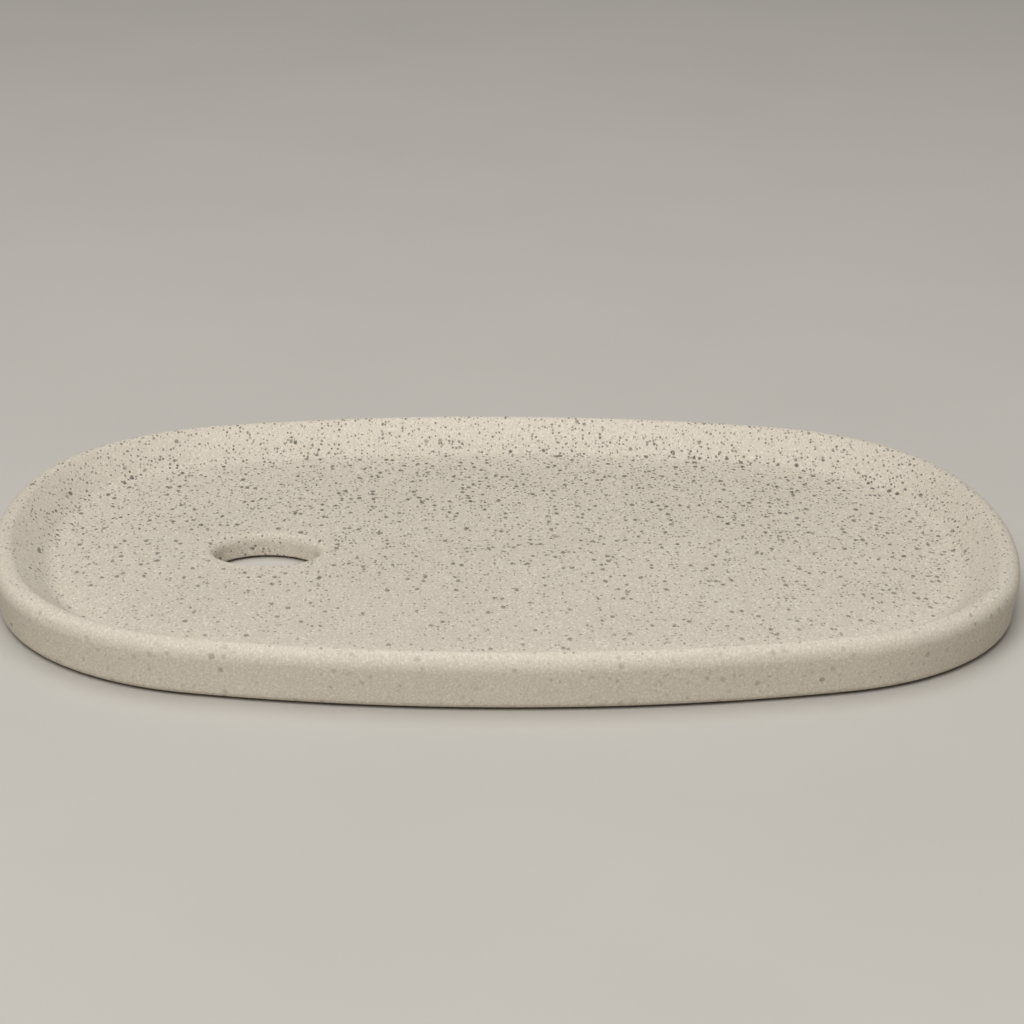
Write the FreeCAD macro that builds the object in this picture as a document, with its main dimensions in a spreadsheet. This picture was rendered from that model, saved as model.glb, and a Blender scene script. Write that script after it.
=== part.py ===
"""Oval soap dish: a cast dish with a drain hole, standing on four adhesive pads.

Frame: +Z up, origin on the surface that the dish stands on, under the middle of the oval.
X runs along the oval, the drain hole lies towards -X, and -Y is the front.
"""
import FreeCAD, Part
import Sketcher
import math
import os

V = FreeCAD.Vector

# Every size is in millimetres.
SIZES = {
    # plan of the dish, at the widest point of its lip
    "dish_length": 160.0,
    "dish_width": 114.0,
    "side_radius": 204.0,
    "end_radius": 89.0,
    "corner_radius": 40.0,
    # section of the dish, measured from its flat underside
    "dish_height": 8.2,
    "floor_thickness": 3.7,
    "lip_radius": 2.2,
    "cove_radius": 4.0,
    "well_inset": 10.2,
    "base_radius": 1.1,
    "base_inset": 0.8,
    "floor_lap": 2.0,
    # drain hole
    "drain_length": 16.1,
    "drain_width": 13.0,
    "drain_end_radius": 5.4,
    "drain_offset": 37.6,
    "drain_top_round": 1.7,
    "drain_low_round": 0.4,
    # anti-slip pads
    "pad_diameter": 10.0,
    "pad_thickness": 0.4,
    "pad_edge_round": 0.12,
    "pad_end_setback": 30.0,
    "pad_side_setback": 24.0,
}

# Expressions that several features share.
SLAB_INSET = "Sizes.well_inset + Sizes.floor_lap / 2"
RING_END_INSET = "Sizes.well_inset + Sizes.floor_lap"
DRAIN_END_REACH = "(Sizes.drain_length / 2 - Sizes.drain_end_radius)"
DRAIN_SIDE_RADIUS = (f"({DRAIN_END_REACH}^2 + (Sizes.drain_width / 2)^2 - Sizes.drain_end_radius^2)"
                     " / (Sizes.drain_width - 2 * Sizes.drain_end_radius)")

# Sketch references: the points of an element, then the two axes. The origin starts the X axis.
START, END, CENTRE = range(1, 4)
X_AXIS, Y_AXIS = range(-1, -3, -1)
ORIGIN = X_AXIS


def make_sheet(doc):
    """Driving sizes, one aliased cell each."""
    sheet = doc.addObject("Spreadsheet::Sheet", "Sizes")
    for row, (alias, value) in enumerate(SIZES.items(), start=1):
        sheet.set(f"A{row}", alias)
        sheet.set(f"B{row}", str(value))
        sheet.setAlias(f"B{row}", alias)
    doc.recompute()
    return sheet


def origin_plane(body, role):
    """One of the body's own origin planes."""
    return next(item for item in body.Origin.OriginFeatures if item.Role == role)


def new_sketch(body, name, role):
    """Empty sketch on an origin plane of its body."""
    sketch = body.newObject("Sketcher::SketchObject", name)
    sketch.AttachmentSupport = [(origin_plane(body, role), "")]
    sketch.MapMode = "FlatFace"
    return sketch


def arc(centre, radius, start_angle, end_angle):
    """Counter-clockwise arc in a sketch plane."""
    circle = Part.Circle(centre, V(0, 0, 1), radius)
    return Part.ArcOfCircle(circle, start_angle, end_angle)


def bind(sketch, kind, references, value, expression):
    """Add a dimension and tie it to the sheet."""
    index = sketch.addConstraint(Sketcher.Constraint(kind, *references, value))
    sketch.setExpression(f"Constraints[{index}]", expression)


def corner_centre(half_length, half_width, side, end, corner):
    """Centre of the arc that touches both the side arc and the end arc, in the +X +Y quarter."""
    side_y = half_width - side
    end_x = half_length - end
    apart = math.hypot(end_x, side_y)
    to_side = side - corner
    to_end = end - corner
    along = (to_side ** 2 - to_end ** 2 + apart ** 2) / (2 * apart)
    across = math.sqrt(to_side ** 2 - along ** 2)
    unit_x = end_x / apart
    unit_y = -side_y / apart
    return V(along * unit_x + across * unit_y, side_y + along * unit_y - across * unit_x, 0)


def oval_sketch(body, sheet, name, inset, inset_expression):
    """Oval of eight tangent arcs, drawn in by inset from the plan of the dish.

    The end arc at +X is in two halves, so that the path starts on the X axis.
    """
    half_length = sheet.dish_length / 2 - inset
    half_width = sheet.dish_width / 2 - inset
    side = sheet.side_radius - inset
    end = sheet.end_radius - inset
    corner = sheet.corner_radius - inset
    centre = corner_centre(half_length, half_width, side, end, corner)
    side_y = half_width - side
    end_x = half_length - end
    side_angle = math.atan2(centre.y - side_y, centre.x)
    end_angle = math.atan2(centre.y, centre.x - end_x)
    half_turn = math.pi

    right = V(end_x, 0, 0)
    left = V(-end_x, 0, 0)
    back = V(0, side_y, 0)
    front = V(0, -side_y, 0)
    pieces = [
        (right, end, 0, end_angle),
        (centre, corner, end_angle, side_angle),
        (back, side, side_angle, half_turn - side_angle),
        (V(-centre.x, centre.y, 0), corner, half_turn - side_angle, half_turn - end_angle),
        (left, end, half_turn - end_angle, half_turn + end_angle),
        (V(-centre.x, -centre.y, 0), corner, half_turn + end_angle, half_turn + side_angle),
        (front, side, half_turn + side_angle, 2 * half_turn - side_angle),
        (V(centre.x, -centre.y, 0), corner, 2 * half_turn - side_angle, 2 * half_turn - end_angle),
        (right, end, 2 * half_turn - end_angle, 2 * half_turn),
    ]
    sketch = new_sketch(body, name, "XY_Plane")
    for piece in pieces:
        sketch.addGeometry(arc(*piece), False)

    count = len(pieces)
    end_first, corner_first, side_first = 0, 1, 2
    end_left, side_front, end_last = 4, 6, 8
    for index in range(count - 1):
        sketch.addConstraint(Sketcher.Constraint("Tangent", index, END, index + 1, START))
    sketch.addConstraint(Sketcher.Constraint("Coincident", end_last, END, end_first, START))
    sketch.addConstraint(Sketcher.Constraint("Coincident", end_last, CENTRE, end_first, CENTRE))
    sketch.addConstraint(Sketcher.Constraint("PointOnObject", end_first, START, X_AXIS))
    for index in (end_first, end_left):
        sketch.addConstraint(Sketcher.Constraint("PointOnObject", index, CENTRE, X_AXIS))
    for index in (side_first, side_front):
        sketch.addConstraint(Sketcher.Constraint("PointOnObject", index, CENTRE, Y_AXIS))
    sketch.addConstraint(Sketcher.Constraint("Equal", end_first, end_left))
    sketch.addConstraint(Sketcher.Constraint("Equal", side_first, side_front))
    for index in (3, 5, 7):
        sketch.addConstraint(Sketcher.Constraint("Equal", corner_first, index))

    drawn_in = f" - ({inset_expression})"
    bind(sketch, "Radius", (end_first,), end, "Sizes.end_radius" + drawn_in)
    bind(sketch, "Radius", (corner_first,), corner, "Sizes.corner_radius" + drawn_in)
    bind(sketch, "Radius", (side_first,), side, "Sizes.side_radius" + drawn_in)
    end_gap = "Sizes.end_radius - Sizes.dish_length / 2"
    side_gap = "Sizes.side_radius - Sizes.dish_width / 2"
    bind(sketch, "DistanceX", (end_first, CENTRE, ORIGIN, START), -end_x, end_gap)
    bind(sketch, "DistanceX", (ORIGIN, START, end_left, CENTRE), -end_x, end_gap)
    bind(sketch, "DistanceY", (side_first, CENTRE, ORIGIN, START), -side_y, side_gap)
    bind(sketch, "DistanceY", (ORIGIN, START, side_front, CENTRE), -side_y, side_gap)
    return sketch


def rim_section(body, sheet):
    """Section through the rim, from the base rounding over the lip to the edge of the floor."""
    half = sheet.dish_length / 2
    height = sheet.dish_height
    floor = sheet.floor_thickness
    lip = sheet.lip_radius
    cove = sheet.cove_radius
    base = sheet.base_radius
    lip_centre = V(half - lip, height - lip, 0)
    base_centre = V(half - sheet.base_inset - base, base, 0)

    # the outer wall touches the base rounding and the lip
    between = lip_centre - base_centre
    wall_lean = math.asin((lip - base) / between.Length)
    wall_normal = math.atan2(between.y, between.x) - math.pi / 2 + wall_lean
    outward = V(math.cos(wall_normal), math.sin(wall_normal), 0)
    base_top = base_centre + outward * base
    lip_low = lip_centre + outward * lip

    # the inner wall runs over the lip and under the cove, which ends on the floor
    cove_centre = V(half - sheet.well_inset, floor + cove, 0)
    across = lip_centre.x - cove_centre.x
    lift = cove_centre.y - lip_centre.y
    slope = math.atan2(across, lift) - math.acos((lip + cove) / math.hypot(across, lift))
    lip_end_angle = math.pi / 2 + slope
    inward = V(-math.sin(slope), math.cos(slope), 0)
    lip_end = lip_centre + inward * lip
    cove_end = cove_centre - inward * cove
    floor_edge = V(cove_centre.x, floor, 0)
    ring_end = cove_centre.x - sheet.floor_lap

    sketch = new_sketch(body, "RimSection", "XZ_Plane")
    bottom, base_arc, wall, lip_arc, inner_wall, cove_arc, floor_line, ring_line = range(8)
    sketch.addGeometry(Part.LineSegment(V(ring_end, 0, 0), V(base_centre.x, 0, 0)), False)
    sketch.addGeometry(arc(base_centre, base, -math.pi / 2, wall_normal), False)
    sketch.addGeometry(Part.LineSegment(base_top, lip_low), False)
    sketch.addGeometry(arc(lip_centre, lip, wall_normal, lip_end_angle), False)
    sketch.addGeometry(Part.LineSegment(lip_end, cove_end), False)
    sketch.addGeometry(arc(cove_centre, cove, -math.pi / 2, lip_end_angle - math.pi), False)
    sketch.addGeometry(Part.LineSegment(floor_edge, V(ring_end, floor, 0)), False)
    sketch.addGeometry(Part.LineSegment(V(ring_end, floor, 0), V(ring_end, 0, 0)), False)

    joints = [
        ("Tangent", bottom, END, base_arc, START),
        ("Tangent", base_arc, END, wall, START),
        ("Tangent", wall, END, lip_arc, START),
        ("Tangent", lip_arc, END, inner_wall, START),
        ("Tangent", inner_wall, END, cove_arc, END),
        ("Tangent", cove_arc, START, floor_line, START),
        ("Coincident", floor_line, END, ring_line, START),
        ("Coincident", ring_line, END, bottom, START),
        ("Horizontal", bottom),
        ("Horizontal", floor_line),
        ("Vertical", ring_line),
        ("PointOnObject", bottom, START, X_AXIS),
    ]
    for joint in joints:
        sketch.addConstraint(Sketcher.Constraint(*joint))
    half_length = "Sizes.dish_length / 2"
    bind(sketch, "Radius", (base_arc,), base, "Sizes.base_radius")
    bind(sketch, "Radius", (lip_arc,), lip, "Sizes.lip_radius")
    bind(sketch, "Radius", (cove_arc,), cove, "Sizes.cove_radius")
    bind(sketch, "DistanceX", (ORIGIN, START, lip_arc, CENTRE), lip_centre.x,
         f"{half_length} - Sizes.lip_radius")
    bind(sketch, "DistanceY", (ORIGIN, START, lip_arc, CENTRE), lip_centre.y,
         "Sizes.dish_height - Sizes.lip_radius")
    bind(sketch, "DistanceX", (ORIGIN, START, base_arc, CENTRE), base_centre.x,
         f"{half_length} - Sizes.base_inset - Sizes.base_radius")
    bind(sketch, "DistanceX", (ORIGIN, START, cove_arc, CENTRE), cove_centre.x,
         f"{half_length} - Sizes.well_inset")
    bind(sketch, "DistanceY", (ORIGIN, START, floor_line, START), floor, "Sizes.floor_thickness")
    bind(sketch, "DistanceX", (ORIGIN, START, ring_line, END), ring_end,
         f"{half_length} - ({RING_END_INSET})")
    return sketch


def drain_sketch(body, sheet):
    """Oval of four tangent arcs, along the X axis."""
    half_width = sheet.drain_width / 2
    end = sheet.drain_end_radius
    end_reach = sheet.drain_length / 2 - end
    side = (end_reach ** 2 + half_width ** 2 - end ** 2) / (2 * (half_width - end))
    side_reach = side - half_width
    turn = math.atan2(side_reach, end_reach)
    half_turn = math.pi
    middle = V(-sheet.drain_offset, 0, 0)
    sketch = new_sketch(body, "DrainOutline", "XY_Plane")
    right, rear, left, front = range(4)
    pieces = [
        (middle + V(end_reach, 0, 0), end, -turn, turn),
        (middle - V(0, side_reach, 0), side, turn, half_turn - turn),
        (middle - V(end_reach, 0, 0), end, half_turn - turn, half_turn + turn),
        (middle + V(0, side_reach, 0), side, half_turn + turn, 2 * half_turn - turn),
    ]
    for piece in pieces:
        sketch.addGeometry(arc(*piece), False)
    joints = [
        ("Tangent", right, END, rear, START),
        ("Tangent", rear, END, left, START),
        ("Tangent", left, END, front, START),
        ("Tangent", front, END, right, START),
        ("PointOnObject", right, CENTRE, X_AXIS),
        ("PointOnObject", left, CENTRE, X_AXIS),
        ("Equal", right, left),
        ("Equal", rear, front),
    ]
    for joint in joints:
        sketch.addConstraint(Sketcher.Constraint(*joint))
    bind(sketch, "Radius", (right,), end, "Sizes.drain_end_radius")
    bind(sketch, "Radius", (rear,), side, DRAIN_SIDE_RADIUS)
    bind(sketch, "DistanceX", (right, CENTRE, ORIGIN, START), sheet.drain_offset - end_reach,
         f"Sizes.drain_offset - {DRAIN_END_REACH}")
    bind(sketch, "DistanceX", (left, CENTRE, ORIGIN, START), sheet.drain_offset + end_reach,
         f"Sizes.drain_offset + {DRAIN_END_REACH}")
    return sketch


def pad_sketch(body, sheet):
    """Circle around the origin."""
    radius = sheet.pad_diameter / 2
    sketch = new_sketch(body, "PadOutline", "XY_Plane")
    sketch.addGeometry(Part.Circle(V(0, 0, 0), V(0, 0, 1), radius), False)
    sketch.addConstraint(Sketcher.Constraint("Coincident", 0, CENTRE, ORIGIN, START))
    bind(sketch, "Radius", (0,), radius, "Sizes.pad_diameter / 2")
    return sketch


def level_edges(shape, middle, reach):
    """Names of the edges at the height of a point whose own middle is within reach of it."""
    tolerance = reach * 1e-4
    names = []
    for index, edge in enumerate(shape.Edges, start=1):
        flat = all(abs(vertex.Z - middle.z) < tolerance for vertex in edge.Vertexes)
        if flat and (edge.CenterOfMass - middle).Length < reach:
            names.append(f"Edge{index}")
    return names


def fillet(body, name, base, edges, expression):
    """Rounding of named edges of the last feature."""
    if not edges:
        raise RuntimeError(f"{name}: no edge to round")
    feature = body.newObject("PartDesign::Fillet", name)
    feature.Base = (base, edges)
    feature.setExpression("Radius", expression)
    return feature


def make_dish(doc, sheet):
    """The cast dish: floor slab, rim swept around it, and the drain hole."""
    body = doc.addObject("PartDesign::Body", "Dish")
    body.Label = "dish"
    slab_inset = sheet.well_inset + sheet.floor_lap / 2
    slab_outline = oval_sketch(body, sheet, "FloorOutline", slab_inset, SLAB_INSET)
    slab = body.newObject("PartDesign::Pad", "FloorSlab")
    slab.Profile = slab_outline
    slab.setExpression("Length", "Sizes.floor_thickness")
    doc.recompute()

    rim_path = oval_sketch(body, sheet, "RimPath", 0, "0")
    section = rim_section(body, sheet)
    doc.recompute()
    rim = body.newObject("PartDesign::AdditivePipe", "Rim")
    rim.Profile = section
    rim.Spine = rim_path
    rim.Mode = "Frenet"
    doc.recompute()
    solid_volume = body.Shape.Volume

    drain_outline = drain_sketch(body, sheet)
    drain = body.newObject("PartDesign::Pocket", "Drain")
    drain.Profile = drain_outline
    drain.Type = "ThroughAll"
    drain.Reversed = True
    doc.recompute()
    expected = Part.Face(drain_outline.Shape.Wires[0]).Area * sheet.floor_thickness
    removed = solid_volume - body.Shape.Volume
    if abs(removed - expected) > expected * 1e-3:
        raise RuntimeError(f"drain removed {removed:.1f} mm3, not {expected:.1f}")

    reach = sheet.drain_length / 2
    top_edges = level_edges(drain.Shape, V(-sheet.drain_offset, 0, sheet.floor_thickness), reach)
    top_round = fillet(body, "DrainTopRound", drain, top_edges, "Sizes.drain_top_round")
    doc.recompute()
    low_edges = level_edges(top_round.Shape, V(-sheet.drain_offset, 0, 0), reach)
    fillet(body, "DrainLowRound", top_round, low_edges, "Sizes.drain_low_round")
    body.setExpression("Placement.Base.z", "Sizes.pad_thickness")
    doc.recompute()
    return body


def make_pad(doc, sheet, name, along, across):
    """Round adhesive pad stuck under the dish, towards one corner of the oval."""
    body = doc.addObject("PartDesign::Body", name.title().replace("_", ""))
    body.Label = name
    outline = pad_sketch(body, sheet)
    disc = body.newObject("PartDesign::Pad", "PadDisc")
    disc.Profile = outline
    disc.setExpression("Length", "Sizes.pad_thickness")
    doc.recompute()
    rim_edges = level_edges(disc.Shape, V(0, 0, 0), sheet.pad_diameter / 2)
    fillet(body, "PadEdge", disc, rim_edges, "Sizes.pad_edge_round")
    body.setExpression("Placement.Base.x",
                       f"{along} * (Sizes.dish_length / 2 - Sizes.pad_end_setback)")
    body.setExpression("Placement.Base.y",
                       f"{across} * (Sizes.dish_width / 2 - Sizes.pad_side_setback)")
    doc.recompute()
    return body


def check(doc, bodies):
    """Stop before anything is written if an object failed or a body has no sound solid."""
    for item in doc.Objects:
        if "Invalid" in item.State or "Error" in item.State:
            raise RuntimeError(f"{item.Name} failed: {item.State}")
    for body in bodies:
        shape = body.Shape
        if shape.isNull() or not shape.isValid() or len(shape.Solids) != 1:
            raise RuntimeError(f"{body.Label} is not one sound solid")


def write(bodies):
    """One STEP file for each piece."""
    os.makedirs("parts", exist_ok=True)
    for body in bodies:
        body.Shape.exportStep(f"parts/{body.Label}.step")
        box = body.Shape.optimalBoundingBox(True, False)
        print(f"{body.Label}: {box.XLength:.2f} x {box.YLength:.2f} x {box.ZLength:.2f} mm,"
              f" {body.Shape.Volume / 1000:.2f} cm3")


def main():
    doc = FreeCAD.newDocument("SoapDish")
    sheet = make_sheet(doc)
    bodies = [make_dish(doc, sheet)]
    for end_name, along in (("left", -1), ("right", 1)):
        for side_name, across in (("front", -1), ("rear", 1)):
            bodies.append(make_pad(doc, sheet, f"{side_name}_{end_name}_pad", along, across))
    check(doc, bodies)
    write(bodies)


main()
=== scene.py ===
# %% [markdown]
# A speckled oval soap dish
#
# The real dish is one casting in a pale, matt, stone-like ceramic. It has a flat floor, a hollow
# cove that rises to a rounded lip, and a drain hole near one end. Four thin adhesive pads hold it
# just clear of what it stands on. The packed model gives the exact solids, and this lesson dresses
# them: a finely divided surface for the casting, a finish for it, a finish for the pads, then light
# and a camera. Shapes are in metres, as in the packed model. Finishes are in millimetres, the
# scale of their grains.

# %% Load the packed model
import bpy
import math
from typing import NamedTuple
from mathutils import Matrix, Vector, noise


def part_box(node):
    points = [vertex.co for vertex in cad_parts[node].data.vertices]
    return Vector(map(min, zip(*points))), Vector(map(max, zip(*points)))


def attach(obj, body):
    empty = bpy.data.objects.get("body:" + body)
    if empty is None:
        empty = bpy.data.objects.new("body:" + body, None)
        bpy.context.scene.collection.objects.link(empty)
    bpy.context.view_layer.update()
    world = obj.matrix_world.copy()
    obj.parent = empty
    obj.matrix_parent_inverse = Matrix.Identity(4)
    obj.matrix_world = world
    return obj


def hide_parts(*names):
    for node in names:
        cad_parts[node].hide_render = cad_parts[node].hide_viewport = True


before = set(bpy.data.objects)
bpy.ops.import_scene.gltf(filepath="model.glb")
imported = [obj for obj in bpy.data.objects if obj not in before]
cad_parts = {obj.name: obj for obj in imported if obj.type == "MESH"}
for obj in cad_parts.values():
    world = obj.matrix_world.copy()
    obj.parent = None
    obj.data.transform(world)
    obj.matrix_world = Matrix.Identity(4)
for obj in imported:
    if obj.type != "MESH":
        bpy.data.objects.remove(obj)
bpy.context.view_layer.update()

dish_low, dish_high = (Vector(place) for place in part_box("dish"))
print("nodes:", sorted(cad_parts))
print("dish from", tuple(dish_low), "to", tuple(dish_high))

# %% [markdown]
# The plan of the casting
#
# The oval is eight arcs that run into each other: two long sides, two ends and four corners. An
# offset of such an oval is the same arcs with other radii, so every ring of the surface can be
# found by stepping inwards along the normal of one outline. That is easier to read than a
# sculpted mesh, and it keeps the casting on its solid.

# %% Arcs of the outline
MILLIMETRE = 0.001
side_radius = 204 * MILLIMETRE
end_radius = 89 * MILLIMETRE
corner_radius = 40 * MILLIMETRE
half_length = (dish_high.x - dish_low.x) / 2
half_width = (dish_high.y - dish_low.y) / 2


def corner_centre():
    """Centre of the corner arc that touches a side arc and an end arc."""
    side_y = half_width - side_radius
    end_x = half_length - end_radius
    apart = math.hypot(end_x, side_y)
    to_side = side_radius - corner_radius
    to_end = end_radius - corner_radius
    along = (to_side ** 2 - to_end ** 2 + apart ** 2) / (2 * apart)
    across = math.sqrt(to_side ** 2 - along ** 2)
    unit = Vector((end_x, -side_y)) / apart
    return Vector((0, side_y)) + along * unit + across * Vector((unit.y, -unit.x))


corner = corner_centre()
side_angle = math.atan2(corner.y - half_width + side_radius, corner.x)
end_angle = math.atan2(corner.y, corner.x - half_length + end_radius)
print("corner arc turns from", round(math.degrees(end_angle), 1), "to", round(math.degrees(side_angle), 1))

# %% Stations around the outline
STATIONS_PER_QUARTER = 120


def quarter_arcs():
    """Centre, radius and angles of the arcs in the quarter with positive x and y."""
    return [
        (Vector((half_length - end_radius, 0)), end_radius, 0, end_angle),
        (corner, corner_radius, end_angle, side_angle),
        (Vector((0, half_width - side_radius)), side_radius, side_angle, math.pi / 2),
    ]


def quarter_stations(count):
    """Evenly spaced points with their normals, from the middle of the end to the middle of the side."""
    arcs = quarter_arcs()
    lengths = [radius * (last - first) for _, radius, first, last in arcs]
    stations = []
    for step in range(count):
        travel = sum(lengths) * step / count
        index = 0
        while travel > lengths[index]:
            travel -= lengths[index]
            index += 1
        centre, radius, first, _ = arcs[index]
        angle = first + travel / radius
        normal = Vector((math.cos(angle), math.sin(angle)))
        stations.append((centre + radius * normal, normal))
    return stations


def mirrored(station):
    """The same station at the other end of the dish."""
    return tuple(Vector((-v.x, v.y)) for v in station)


def outline_stations(per_quarter):
    """The whole outline, counter-clockwise: a quarter, its mirror image, and both turned round."""
    first = quarter_stations(per_quarter)
    side_middle = (Vector((0, half_width)), Vector((0, 1)))
    second = [mirrored(station) for station in reversed(first[1:])]
    half = first + [side_middle] + second
    turned = [tuple(-v for v in station) for station in half]
    return half + turned


outline = outline_stations(STATIONS_PER_QUARTER)
print("outline has", len(outline), "stations")

# %% [markdown]
# The section of the casting
#
# One closed loop describes the wall: from the drain hole out along the underside, round the base,
# up the wall, over the lip, down the sloping inner wall and its cove, and back along the floor into
# the hole. Each point of the loop says how far inside the outline it lies and how high. The floor
# and the underside fan out from the hole instead, because the hole isn't concentric with the oval.

# %% Sizes of the section
lip_radius = 2.2 * MILLIMETRE
cove_radius = 4 * MILLIMETRE
well_inset = 10.2 * MILLIMETRE
base_radius = 1.1 * MILLIMETRE
base_inset = 0.8 * MILLIMETRE
floor_thickness = 3.7 * MILLIMETRE
drain_half_length = 8.05 * MILLIMETRE
drain_half_width = 6.5 * MILLIMETRE
drain_end_radius = 5.4 * MILLIMETRE
drain_top_round = 1.7 * MILLIMETRE
drain_low_round = 0.4 * MILLIMETRE
drain_centre = Vector((-37.6 * MILLIMETRE, 0))
underside = dish_low.z
rim_top = dish_high.z
floor_level = underside + floor_thickness
print("floor at", round(floor_level / MILLIMETRE, 2), "mm, rim at", round(rim_top / MILLIMETRE, 2), "mm")

# %% Rim section, as inset and height
BASE_STEPS = 10
WALL_STEPS = 8
LIP_STEPS = 28
INNER_WALL_STEPS = 10
COVE_STEPS = 14


def arc_points(centre, radius, first, last, count):
    """Points of a section arc, both ends included."""
    turns = [first + (last - first) * step / count for step in range(count + 1)]
    return [centre + radius * Vector((math.cos(turn), math.sin(turn))) for turn in turns]


def between(first, last, count):
    """Points strictly between two points."""
    return [first.lerp(last, step / count) for step in range(1, count)]


def touching_angle(across, rise, radii):
    """Turn of a line that touches two circles, from the step between their centres."""
    return math.atan2(rise, across) - math.acos(radii / math.hypot(across, rise))


def rim_section():
    """Base rounding, outer wall, lip, inner wall and cove. The angle of pi points outwards."""
    lip_centre = Vector((lip_radius, rim_top - lip_radius))
    base_centre = Vector((base_inset + base_radius, underside + base_radius))
    cove_centre = Vector((well_inset, floor_level + cove_radius))
    wall_step = lip_centre - base_centre
    well_step = cove_centre - lip_centre
    lean = touching_angle(wall_step.x, wall_step.y, lip_radius - base_radius)
    slope = touching_angle(well_step.y, well_step.x, lip_radius + cove_radius)
    wall_angle = math.pi + lean
    lip_end = math.pi / 2 - slope
    base = arc_points(base_centre, base_radius, 3 * math.pi / 2, wall_angle, BASE_STEPS)
    lip = arc_points(lip_centre, lip_radius, wall_angle, lip_end, LIP_STEPS)
    cove = arc_points(cove_centre, cove_radius, lip_end + math.pi, 3 * math.pi / 2, COVE_STEPS)
    wall = between(base[-1], lip[0], WALL_STEPS)
    inner_wall = between(lip[-1], cove[0], INNER_WALL_STEPS)
    return base + wall + lip + inner_wall + cove


rim = rim_section()
print("rim section has", len(rim), "points, from inset", rim[0].x, "to", rim[-1].x)

# %% Drain section, as offset from its wall and height
DRAIN_TOP_STEPS = 12
DRAIN_WALL_STEPS = 4
DRAIN_LOW_STEPS = 5


def drain_section():
    """From the floor over the top rounding, down the wall and over the lower rounding."""
    top_centre = Vector((drain_top_round, floor_level - drain_top_round))
    low_centre = Vector((drain_low_round, underside + drain_low_round))
    top = arc_points(top_centre, drain_top_round, math.pi / 2, math.pi, DRAIN_TOP_STEPS)
    low = arc_points(low_centre, drain_low_round, math.pi, 3 * math.pi / 2, DRAIN_LOW_STEPS)
    return top + between(top[-1], low[0], DRAIN_WALL_STEPS) + low


drain = drain_section()
print("drain section has", len(drain), "points")

# %% Plan of the drain
drain_end_reach = drain_half_length - drain_end_radius
drain_side_radius = (drain_end_reach ** 2 + drain_half_width ** 2 - drain_end_radius ** 2) / (
    2 * (drain_half_width - drain_end_radius)
)
drain_side_reach = drain_side_radius - drain_half_width
drain_turn = math.atan2(drain_side_reach, drain_end_reach)


def drain_point(direction, offset):
    """Place on the drain's wall whose normal is the direction, moved out along it by the offset."""
    if math.atan2(abs(direction.y), abs(direction.x)) < drain_turn:
        centre = Vector((math.copysign(drain_end_reach, direction.x), 0))
        radius = drain_end_radius
    else:
        centre = Vector((0, -math.copysign(drain_side_reach, direction.y)))
        radius = drain_side_radius
    return drain_centre + centre + (radius + offset) * direction


print("drain's long sides have a radius of", round(drain_side_radius / MILLIMETRE, 2), "mm")

# %% [markdown]
# One skin for the casting
#
# Sweeping the closed loop around the outline gives a skin with no ends: it closes on itself along
# the section and around the oval. A grid of that kind has even, well-shaped faces, so it can
# carry the slight unevenness of a hand-finished casting. Cutting the hole with a boolean would
# leave long thin faces that shade badly.

# %% Rings of the skin
FLOOR_RINGS = 72
UNDERSIDE_RINGS = 24


def raised(place, height):
    """A point of the plan, lifted to a height."""
    return Vector((place.x, place.y, height))


def station_loop(point, normal):
    """All points of the closed section at one station of the outline."""
    rim_points = [raised(point - inset * normal, height) for inset, height in rim]
    outwards = (rim_points[-1].to_2d() - drain_centre).normalized()
    drain_points = [raised(drain_point(outwards, offset), height) for offset, height in drain]
    floor = between(rim_points[-1], drain_points[0], FLOOR_RINGS)
    under = between(drain_points[-1], rim_points[0], UNDERSIDE_RINGS)
    return rim_points + floor + drain_points + under


loops = [station_loop(point, normal) for point, normal in outline]
ring_count = len(loops[0])
print("skin:", len(loops), "stations by", ring_count, "rings")

# %% Build the skin
def build_skin(name):
    """Mesh object from the loops, closed both ways, with its normals outwards."""
    count = len(loops)
    points = [point for loop in loops for point in loop]
    faces = []
    for i in range(count):
        here = i * ring_count
        across = (i + 1) % count * ring_count
        for j in range(ring_count):
            after = (j + 1) % ring_count
            faces.append((here + j, across + j, across + after, here + after))
    mesh = bpy.data.meshes.new(name)
    mesh.from_pydata(points, [], faces)
    mesh.validate()
    mesh.shade_smooth()
    skin = bpy.data.objects.new(name, mesh)
    bpy.context.scene.collection.objects.link(skin)
    return skin


casting = build_skin("casting")
print("casting has", len(casting.data.polygons), "faces")

# %% [markdown]
# Slight unevenness
#
# A casting that is fettled by hand is never quite true: its lip wanders by a tenth of a
# millimetre and its faces are faintly dished. Smooth noise, sampled at each point, takes that
# little off the skin along its normal. A bump would shade the faces and leave the outline too
# true. The noise only ever cuts in, so the casting stays in its size, and it fades out at the
# underside, which has to stay flat for the pads.

# %% Wear the skin
WANDER_DEPTH = 0.16 * MILLIMETRE
WANDER_LENGTH = 21 * MILLIMETRE
RIPPLE_DEPTH = 0.035 * MILLIMETRE
RIPPLE_LENGTH = 4.5 * MILLIMETRE
FADE_HEIGHT = 2.5 * MILLIMETRE


def unevenness(place):
    """How deep the hand finish cuts at a place, from zero to both depths together."""
    slow = 0.5 + 0.5 * noise.noise(place / WANDER_LENGTH)
    quick = 0.5 + 0.5 * noise.noise(place / RIPPLE_LENGTH)
    fade = min(max((place.z - underside) / FADE_HEIGHT, 0), 1)
    return fade * (WANDER_DEPTH * slow + RIPPLE_DEPTH * quick)


normals = [vertex.normal.copy() for vertex in casting.data.vertices]
for vertex, normal in zip(casting.data.vertices, normals):
    vertex.co -= unevenness(vertex.co) * normal
casting.data.update()
print("deepest possible cut:", round((WANDER_DEPTH + RIPPLE_DEPTH) / MILLIMETRE, 3), "mm")

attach(casting, "root")
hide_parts("dish")

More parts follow.
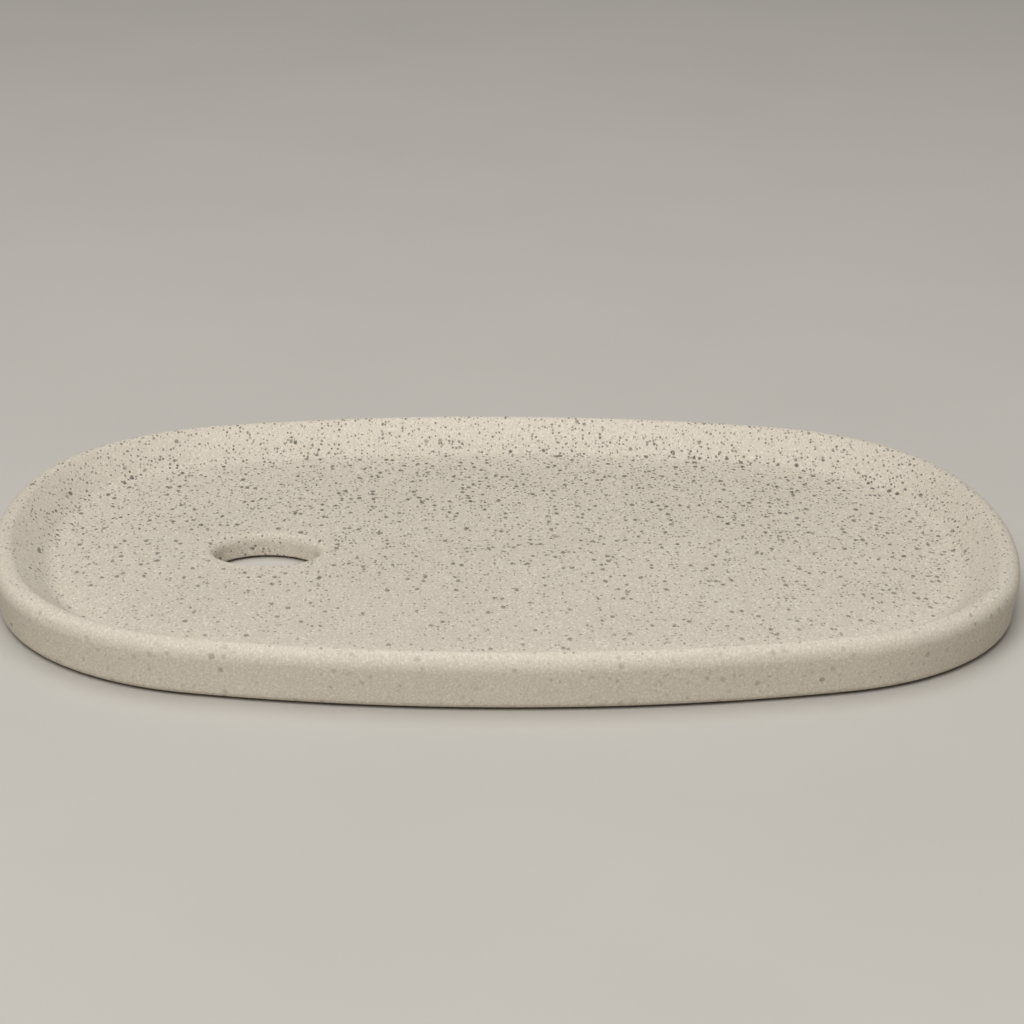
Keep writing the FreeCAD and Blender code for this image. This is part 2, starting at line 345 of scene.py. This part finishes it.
# %% [markdown]
# Shader maths as arithmetic
#
# Finishes here are sums and products of a few patterns. Wrapping a socket in a small class lets
# them be written as plain expressions, and each operator adds the Math node that it stands for.
# A second small class holds the material and has one method that adds any other node.

# %% A wire
class Wire:
    """A value on an output socket. Arithmetic on it adds Math nodes."""

    def __init__(self, recipe, socket):
        self.recipe = recipe
        self.socket = socket

    def joined(self, operation, first, second):
        """The result of a Math node on two values."""
        return self.recipe.node("ShaderNodeMath", {"operation": operation}, {0: first, 1: second})

    def __add__(self, other):
        return self.joined("ADD", self, other)

    def __sub__(self, other):
        return self.joined("SUBTRACT", self, other)

    def __rsub__(self, other):
        return self.joined("SUBTRACT", other, self)

    def __mul__(self, other):
        return self.joined("MULTIPLY", self, other)

    def __truediv__(self, other):
        return self.joined("DIVIDE", self, other)

    def __rtruediv__(self, other):
        return self.joined("DIVIDE", other, self)

    def __pow__(self, other):
        return self.joined("POWER", self, other)

    def __rpow__(self, other):
        return self.joined("POWER", other, self)

    def __lt__(self, other):
        return self.joined("LESS_THAN", self, other)

    # Python reads 0.5 < wire as wire > 0.5.
    def __gt__(self, other):
        return self.joined("GREATER_THAN", self, other)

    # A sum or a product is the same from either side.
    __radd__ = __add__
    __rmul__ = __mul__

    def __abs__(self):
        return self.recipe.node("ShaderNodeMath", {"operation": "ABSOLUTE"}, {0: self})

    def clamped(self):
        """The value held between 0 and 1."""
        wire = self.joined("ADD", self, 0)
        wire.socket.node.use_clamp = True
        return wire

    def ramped(self, gain, offset):
        """The value times a gain, plus an offset, held between 0 and 1."""
        return (self * gain + offset).clamped()


print("wires know", [name for name in vars(Wire) if name.startswith("__r")])

# %% A recipe
# Sockets of a Mix node go by number, because several of them share a name.
MIX_FACTOR, MIX_FIRST_COLOUR, MIX_SECOND_COLOUR = 0, 6, 7
MIX_COLOUR_RESULT = 2


class Recipe:
    """A material in the making."""

    def __init__(self, name):
        self.material = bpy.data.materials.new(name)
        self.material.use_nodes = True
        self.tree = self.material.node_tree
        self.tree.nodes.clear()

    def node(self, kind, settings=None, sockets=None, out=0):
        """Add a node: its settings first, then the values or wires of its sockets."""
        node = self.tree.nodes.new(kind)
        for key, value in (settings or {}).items():
            setattr(node, key, value)
        for key, value in (sockets or {}).items():
            if isinstance(value, Wire):
                self.tree.links.new(value.socket, node.inputs[key])
            else:
                node.inputs[key].default_value = value
        return Wire(self, node.outputs[out])

    def also(self, wire, out):
        """Another output of the node that a wire comes from."""
        return Wire(self, wire.socket.node.outputs[out])

    def tint(self, factor, first, second):
        """Colour that goes from the first to the second as the factor goes from 0 to 1."""
        sockets = {MIX_FACTOR: factor, MIX_FIRST_COLOUR: first, MIX_SECOND_COLOUR: second}
        return self.node("ShaderNodeMix", {"data_type": "RGBA"}, sockets, out=MIX_COLOUR_RESULT)

    def finished(self, shader):
        """The material, with a shader on its surface."""
        output = self.tree.nodes.new("ShaderNodeOutputMaterial")
        self.tree.links.new(shader.socket, output.inputs["Surface"])
        return self.material


def soft_noise(recipe, place, scale, detail, out=0):
    """Smooth noise about a half. The scale is in waves per unit of the place."""
    return recipe.node("ShaderNodeTexNoise", None, {"Vector": place, "Scale": scale, "Detail": detail}, out)


print("recipes offer", [name for name in vars(Recipe) if not name.startswith("_")])

# %% [markdown]
# The speckled ceramic
#
# The body is a warm cream with faint clouds in it and a fine sandy grain, which shows most on the
# floor. It is palest on the sloping inner wall along the two long sides. That paleness is partly the
# rim's own paler tone and partly painted light: it lightens the far slope, which faces the lamp, and
# leaves the ends, which face sideways, darker. Dark mineral grains are scattered all through it, and
# where the surface cuts one it shows as a small speck. A solid Voronoi pattern does just that: each
# cell holds one grain, and the surface shows the grains that it slices, so sizes vary by themselves
# and the pattern runs over the lip without a seam. Flat patterns would stretch on the wall.

# %% Colours of the body
def srgb(red, green, blue):
    """Linear colour from the usual 0 to 255 values."""
    def linear(value):
        share = value / 255
        return share / 12.92 if share <= 0.04045 else ((share + 0.055) / 1.055) ** 2.4
    return (linear(red), linear(green), linear(blue), 1)


CREAM = srgb(215, 206, 190)
CREAM_DEEP = srgb(206, 197, 181)
# Pale rim tone; on the inner wall along the long sides it also serves as painted light.
RIM_PALE_AND_PAINTED_LIGHT = srgb(228, 219, 202)
GRAIN_SHADE = srgb(170, 160, 143)
GRAIN_LIGHT = srgb(240, 233, 219)
SPECK = srgb(66, 58, 47)
SPECK_FAINT = srgb(136, 126, 109)
print("cream in linear light:", [round(share, 3) for share in CREAM[:3]])

# %% Places for the patterns
MILLIMETRES_PER_METRE = 1000
WOBBLE_SCALE = 2.2
WOBBLE_REACH = (0.35, 0.35, 0.35)
GRAIN_DRAW = (1, 1 / 1.6, 1)


def millimetre_place(recipe):
    """Place on the surface, in millimetres of the object's own frame."""
    metres = recipe.node("ShaderNodeTexCoord", out="Object")
    scaling = {0: metres, "Scale": MILLIMETRES_PER_METRE}
    return recipe.node("ShaderNodeVectorMath", {"operation": "SCALE"}, scaling)


def wobbled(recipe, place):
    """The place shifted a little by noise, so that grains lose their round outline."""
    wobble = soft_noise(recipe, place, WOBBLE_SCALE, detail=1, out="Color")
    shifting = {0: wobble, 1: WOBBLE_REACH, 2: place}
    return recipe.node("ShaderNodeVectorMath", {"operation": "MULTIPLY_ADD"}, shifting)


def drawn_out(recipe, place):
    """The place squeezed from front to back, so that grains come out longer that way."""
    return recipe.node("ShaderNodeVectorMath", {"operation": "MULTIPLY"}, {0: place, 1: GRAIN_DRAW})


print("grains are drawn out", round(GRAIN_DRAW[0] / GRAIN_DRAW[1], 2), "times from front to back")

# %% [markdown]
# Zones of the finish
#
# The finish isn't the same all over. The floor is sandy, the inner wall is pale, partly with painted
# light along the long sides, and the outer wall was rubbed down, so few specks are left on it.
# Height tells the inner wall from the floor, and the direction that a surface faces tells the outer
# wall from both. An oval ring marks where the floor fades into the wall. Masks painted by hand would
# have to be redone when a size changes.
# Each zone is a value from 0 to 1, so edges stay soft.

# %% Zones of the casting
WALL_RISE = 2.6
FACING_RAMP = (1.8, -0.2)
FADE_INSET = 14.5
FADE_START_SHARE = 0.73
FADE_WIDTH_SHARE = 0.6
RING_POWER = 2.85


def outer_share(recipe, place):
    """From 0 on the floor and the inner wall to 1 where the surface faces away from the middle."""
    level = recipe.node("ShaderNodeVectorMath", {"operation": "MULTIPLY"}, {0: place, 1: (1, 1, 0)})
    away = recipe.node("ShaderNodeVectorMath", {"operation": "NORMALIZE"}, {0: level})
    normal = recipe.node("ShaderNodeTexCoord", out="Normal")
    pair = {0: normal, 1: away}
    facing = recipe.node("ShaderNodeVectorMath", {"operation": "DOT_PRODUCT"}, pair, out="Value")
    return facing.ramped(*FACING_RAMP)


def ring_share(x, y):
    """From 0 on the open floor to 1 on the inner wall, across an oval ring."""
    along = abs(x) / (half_length / MILLIMETRE - FADE_INSET)
    across = abs(y) / (half_width / MILLIMETRE - FADE_INSET)
    ring = along ** RING_POWER + across ** RING_POWER
    return ((ring - FADE_START_SHARE) / FADE_WIDTH_SHARE).clamped()


class Zones:
    """Where a place lies on the casting: x and y, and zones that go from 0 to 1."""

    def __init__(self, recipe, place):
        self.x = recipe.node("ShaderNodeSeparateXYZ", None, {0: place}, out="X")
        self.y = recipe.also(self.x, "Y")
        height = recipe.also(self.x, "Z") - floor_level / MILLIMETRE
        self.lift = (height / WALL_RISE).clamped()
        self.outside = outer_share(recipe, place)
        self.off_floor = (self.lift + self.outside).clamped()
        self.floor_edge = ring_share(self.x, self.y)
        # Painted light: the inner rim's paleness is full along the long sides and fades out at the ends,
        # which face sideways from the lamp.
        self.long_sides_painted_light = 1 - (abs(self.x) / (half_length / MILLIMETRE)) ** 2


print("floor has nearly half faded", FADE_INSET, "mm inside the outline")

# %% Colour of the body
CLOUD_SCALE = 0.06
CLOUD_RAMP = (1.6, -0.3)
EDGE_PALE_AND_PAINTED_LIGHT_SHARE = 0.45
LIFT_PALE_AND_PAINTED_LIGHT_SHARE = 0.55
OUTER_PALE_SHARE = 0.5
SHADE_RAMP = (2.6, -0.8)
SHADE_SHARE = 0.44
LIGHT_RAMP = (-4.4, 2.0)
LIGHT_SHARE = 0.38
SANDY_LIGHT_SHARE = 0.34


def pale_rim_and_painted_light(zones):
    """How far the body fades to the pale rim, partly painted light on the inner wall along the long sides.
    """
    inner_rim_and_painted_light = (EDGE_PALE_AND_PAINTED_LIGHT_SHARE * zones.floor_edge + LIFT_PALE_AND_PAINTED_LIGHT_SHARE * zones.lift) * zones.long_sides_painted_light
    return inner_rim_and_painted_light * (1 - zones.outside) + OUTER_PALE_SHARE * zones.outside


def body_colour(recipe, place, grain, zones):
    """Cream with clouds, a pale rim that is partly painted light, and a grain of darker and lighter sand.
    """
    clouds = soft_noise(recipe, place, CLOUD_SCALE, detail=3)
    light_share = LIGHT_SHARE + SANDY_LIGHT_SHARE * (1 - zones.off_floor)
    body = recipe.tint(clouds.ramped(*CLOUD_RAMP), CREAM_DEEP, CREAM)
    # Pale rim, partly painted light on the inner wall along the long sides.
    body = recipe.tint(pale_rim_and_painted_light(zones), body, RIM_PALE_AND_PAINTED_LIGHT)
    body = recipe.tint(grain.ramped(*SHADE_RAMP) * SHADE_SHARE, body, GRAIN_SHADE)
    return recipe.tint(grain.ramped(*LIGHT_RAMP) * light_share, body, GRAIN_LIGHT)


print("clouds are about", round(1 / CLOUD_SCALE), "mm across")

# %% [markdown]
# Specks in layers
#
# The specks come in three sizes, so there are three layers of cells. In each layer a cell draws its
# own size, its own strength, and whether it holds a grain at all. They lie thickest and darkest
# towards the back of the dish and thin out towards the front, and the middling ones crowd in
# patches. A fourth layer, of soft spots, gives the outer wall its faint freckles and the whole
# surface its shallow pits.

# %% One layer of specks
class SpeckLayer(NamedTuple):
    """Sizes of one layer's grains in millimetres, how dark they are, and how much less outside."""
    cell: float
    smallest: float
    largest: float
    softness: float
    dark_share: float = 1
    outer_loss_share: float = 0


FINE = SpeckLayer(
    cell=0.58, smallest=0.09, largest=0.27, softness=0.07, dark_share=0.85, outer_loss_share=0.45
)
MIDDLING = SpeckLayer(
    cell=1.15, smallest=0.24, largest=0.48, softness=0.15, dark_share=0.82, outer_loss_share=0.40
)
COARSE = SpeckLayer(cell=3.6, smallest=0.32, largest=0.50, softness=0.14, outer_loss_share=0.30)
SPOTS = SpeckLayer(cell=1.8, smallest=0.32, largest=0.62, softness=0.25)
FAINTEST_SHARE = 0.55


def speck_mask(recipe, place, layer, active_share):
    """Mask of the grains in one layer, each with a strength of its own."""
    distance = recipe.node(
        "ShaderNodeTexVoronoi",
        {"voronoi_dimensions": "3D", "feature": "F1"},
        {"Vector": place, "Scale": 1 / layer.cell},
    )
    size = recipe.node("ShaderNodeSeparateColor", None, {0: recipe.also(distance, "Color")}, out="Red")
    draw = recipe.also(size, "Green")
    strength = FAINTEST_SHARE + (1 - FAINTEST_SHARE) * recipe.also(size, "Blue")
    radius = layer.smallest + (layer.largest - layer.smallest) * size
    inside = ((radius - distance * layer.cell) / layer.softness).clamped()
    return inside * strength * (draw < active_share)


print("speck radii:", [(layer.smallest, layer.largest) for layer in (FINE, MIDDLING, COARSE)], "mm")

# %% How the specks are spread
# Gains to the right and to the back are per millimetre.
SCATTER_SHARE = 0.71
SCATTER_GAIN_RIGHT = 0.0010
SCATTER_GAIN_BACK = 0.0090
SCATTER_OUTER_LOSS_SHARE = 0.80
CROWD_LEAST_SHARE = 0.07
CROWD_GAIN = 1.1
CROWD_WALL_LOSS_SHARE = 0.9
COARSE_SHARE = 0.75
COARSE_LOSS_SHARE = 0.50
BOLD_SHARE = 0.89
BOLD_GAIN_BACK = 0.0045
BOLD_WALL_LOSS_SHARE = 0.12


def speckled(recipe, body, place, crowd, zones):
    """The body with its three layers of specks."""
    drift = SCATTER_SHARE + SCATTER_GAIN_RIGHT * zones.x + SCATTER_GAIN_BACK * zones.y
    scattered = drift.clamped() * (1 - SCATTER_OUTER_LOSS_SHARE * zones.outside)
    patches = CROWD_LEAST_SHARE + CROWD_GAIN * crowd
    crowded = patches * scattered * (1 - CROWD_WALL_LOSS_SHARE * zones.lift)
    sparse = COARSE_SHARE - COARSE_LOSS_SHARE * zones.off_floor
    bold = (BOLD_SHARE + BOLD_GAIN_BACK * zones.y).clamped() * (1 - BOLD_WALL_LOSS_SHARE * zones.lift)
    for layer, active_share in ((FINE, scattered), (MIDDLING, crowded), (COARSE, sparse)):
        mask = speck_mask(recipe, place, layer, active_share)
        darkness = layer.dark_share - layer.outer_loss_share * zones.outside
        body = recipe.tint(mask * bold * darkness, body, SPECK)
    return body


print("fine specks fill", SCATTER_SHARE, "of their cells in the middle of the dish")

# %% The ceramic
GRAIN_SCALE = 3.2
CROWD_SCALE = 0.16
SPOT_SHARE = 0.95
SPOT_RAMP = (0.95, -0.12)
GRAIN_HEIGHT = 0.02
SPOT_DEPTH = 0.03
CERAMIC_BUMP_STRENGTH = 0.6
CERAMIC_ROUGHNESS = 0.62
CERAMIC_ROUGHNESS_GAIN = 0.12
CERAMIC_SPECULAR = 0.35


def speckled_ceramic():
    """Cream casting body with specks, grain and soft spots."""
    recipe = Recipe("speckled_ceramic")
    place = millimetre_place(recipe)
    warped = wobbled(recipe, place)
    drawn = drawn_out(recipe, warped)
    zones = Zones(recipe, place)
    grain = soft_noise(recipe, drawn, GRAIN_SCALE, detail=3)
    crowd = soft_noise(recipe, place, CROWD_SCALE, detail=1)
    spots = speck_mask(recipe, warped, SPOTS, SPOT_SHARE)

    body = body_colour(recipe, place, grain, zones)
    body = recipe.tint(spots * zones.outside * crowd.ramped(*SPOT_RAMP), body, SPECK_FAINT)
    body = speckled(recipe, body, drawn, crowd, zones)
    relief = {
        "Strength": CERAMIC_BUMP_STRENGTH,
        "Distance": MILLIMETRE,
        "Height": grain * GRAIN_HEIGHT - spots * SPOT_DEPTH,
    }
    surface = {
        "Base Color": body,
        "Roughness": CERAMIC_ROUGHNESS + CERAMIC_ROUGHNESS_GAIN * grain,
        "Specular IOR Level": CERAMIC_SPECULAR,
        "Normal": recipe.node("ShaderNodeBump", None, relief),
    }
    return recipe.finished(recipe.node("ShaderNodeBsdfPrincipled", None, surface))


ceramic = speckled_ceramic()
casting.data.materials.append(ceramic)
print("ceramic has", len(ceramic.node_tree.nodes), "nodes")

# %% [markdown]
# The pads
#
# The pads are thin discs of pale silicone, hidden from above. The packed solids already have the
# right shape, so only their finish is made here: a milky body with a faint moulding grain.

# %% Silicone for the pads
PAD_SHADE = srgb(186, 184, 178)
PAD_MILK = srgb(205, 203, 197)
PAD_HAZE_SCALE = 0.5
PAD_GRAIN_SCALE = 6.0
PAD_GRAIN_DEPTH = 0.1 * MILLIMETRE
PAD_BUMP_STRENGTH = 0.4
PAD_ROUGHNESS = 0.45
PAD_ROUGHNESS_GAIN = 0.2


def pad_silicone():
    """Milky grey silicone with a fine matt grain."""
    recipe = Recipe("pad_silicone")
    place = millimetre_place(recipe)
    haze = soft_noise(recipe, place, PAD_HAZE_SCALE, detail=2)
    grain = soft_noise(recipe, place, PAD_GRAIN_SCALE, detail=1)
    relief = {"Strength": PAD_BUMP_STRENGTH, "Distance": PAD_GRAIN_DEPTH, "Height": grain}
    surface = {
        "Base Color": recipe.tint(haze, PAD_SHADE, PAD_MILK),
        "Roughness": PAD_ROUGHNESS + PAD_ROUGHNESS_GAIN * grain,
        "Normal": recipe.node("ShaderNodeBump", None, relief),
    }
    return recipe.finished(recipe.node("ShaderNodeBsdfPrincipled", None, surface))


silicone = pad_silicone()
pads = [node for name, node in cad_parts.items() if name.endswith("_pad")]
for pad in pads:
    pad.data.materials.clear()
    pad.data.materials.append(silicone)
print("dressed", len(pads), "pads")

# %% [markdown]
# Floor and light
#
# A plain pale floor takes the contact shadow. A large soft lamp in front and above, a little to
# the left, makes the far slope of the hollow brighter than its floor and leaves the near wall in
# gentle shade. A second one overhead, leaning to the back, lays the shadow under the front edge.
# A dim even sky fills the rest.

# %% Floor
FLOOR_REACH = 3.0
FLOOR_SHADE = srgb(191, 187, 179)
FLOOR_PALE = srgb(199, 194, 186)
FLOOR_DRIFT_SCALE = 18.0
FLOOR_ROUGHNESS = 0.7


def floor_paint():
    """Matt paint with a faint drift of tone. Its place is in metres."""
    recipe = Recipe("floor_paint")
    place = recipe.node("ShaderNodeTexCoord", out="Object")
    drift = soft_noise(recipe, place, FLOOR_DRIFT_SCALE, detail=4)
    surface = {"Base Color": recipe.tint(drift, FLOOR_SHADE, FLOOR_PALE), "Roughness": FLOOR_ROUGHNESS}
    return recipe.finished(recipe.node("ShaderNodeBsdfPrincipled", None, surface))


def stage_floor():
    """Large plain floor at the height that the dish stands on."""
    signs = ((-1, -1), (1, -1), (1, 1), (-1, 1))
    mesh = bpy.data.meshes.new("floor")
    mesh.from_pydata([(x * FLOOR_REACH, y * FLOOR_REACH, 0) for x, y in signs], [], [(0, 1, 2, 3)])
    mesh.materials.append(floor_paint())
    floor = bpy.data.objects.new("floor", mesh)
    bpy.context.scene.collection.objects.link(floor)
    return floor


print("floor is", stage_floor().dimensions.x, "m wide")

# %% Lamps and sky
SOFTBOX_SIZE = 0.7
KEY_PLACE = Vector((-0.19, -0.63, 0.80))
KEY_WATTS = 7.5
OVERHEAD_PLACE = Vector((0, 0.26, 0.97))
OVERHEAD_WATTS = 3.7
SKY_COLOUR = (1.0, 0.99, 0.97, 1)
SKY_STRENGTH = 0.17


def soft_lamp(name, place, watts):
    """Square softbox that points at the dish."""
    data = bpy.data.lights.new(name, "AREA")
    data.size = SOFTBOX_SIZE
    data.energy = watts
    lamp = bpy.data.objects.new(name, data)
    lamp.location = place
    lamp.rotation_euler = (-place).to_track_quat("-Z", "Y").to_euler()
    bpy.context.scene.collection.objects.link(lamp)


def dim_sky():
    """Even light from all round."""
    sky = bpy.data.worlds.new("sky")
    sky.use_nodes = True
    background = sky.node_tree.nodes["Background"]
    background.inputs["Color"].default_value = SKY_COLOUR
    background.inputs["Strength"].default_value = SKY_STRENGTH
    return sky


soft_lamp("key", KEY_PLACE, KEY_WATTS)
soft_lamp("overhead", OVERHEAD_PLACE, OVERHEAD_WATTS)
bpy.context.scene.world = dim_sky()
bpy.context.scene.view_settings.view_transform = "Standard"

# %% [markdown]
# Camera
#
# The view is the photograph's: a long lens, low over the floor, a little to the left of the
# dish's middle and rolled by about a degree. The place and turns come from fitting the outline,
# the lip and the drain hole of the solid to the picture.

# %% Photograph's view
PICTURE_WIDTH = 1024
FOCAL_PIXELS = 3000
SENSOR_WIDTH = 36
CAMERA_PLACE = Vector((0.9, -444.8, 166.1)) * MILLIMETRE
PITCH = math.radians(19.32)
ROLL = math.radians(0.925)
YAW = math.radians(2.70)


def photo_camera():
    """Camera from its place, downward pitch, roll about its view and yaw about the dish."""
    right = Vector((1, 0, 0))
    up = Vector((0, math.sin(PITCH), math.cos(PITCH)))
    ahead = Vector((0, math.cos(PITCH), -math.sin(PITCH)))
    rolled_right = right * math.cos(ROLL) + up * math.sin(ROLL)
    rolled_up = up * math.cos(ROLL) - right * math.sin(ROLL)
    turn = Matrix.Rotation(-YAW, 3, "Z")
    axes = Matrix([turn @ rolled_right, turn @ rolled_up, turn @ -ahead]).transposed()
    data = bpy.data.cameras.new("camera")
    data.sensor_width = SENSOR_WIDTH
    data.lens = FOCAL_PIXELS / PICTURE_WIDTH * SENSOR_WIDTH
    camera = bpy.data.objects.new("camera", data)
    camera.matrix_world = Matrix.Translation(turn @ CAMERA_PLACE) @ axes.to_4x4()
    bpy.context.scene.collection.objects.link(camera)
    return camera


bpy.context.scene.camera = photo_camera()
print("lens", round(bpy.context.scene.camera.data.lens, 1), "mm")

# %% [markdown]
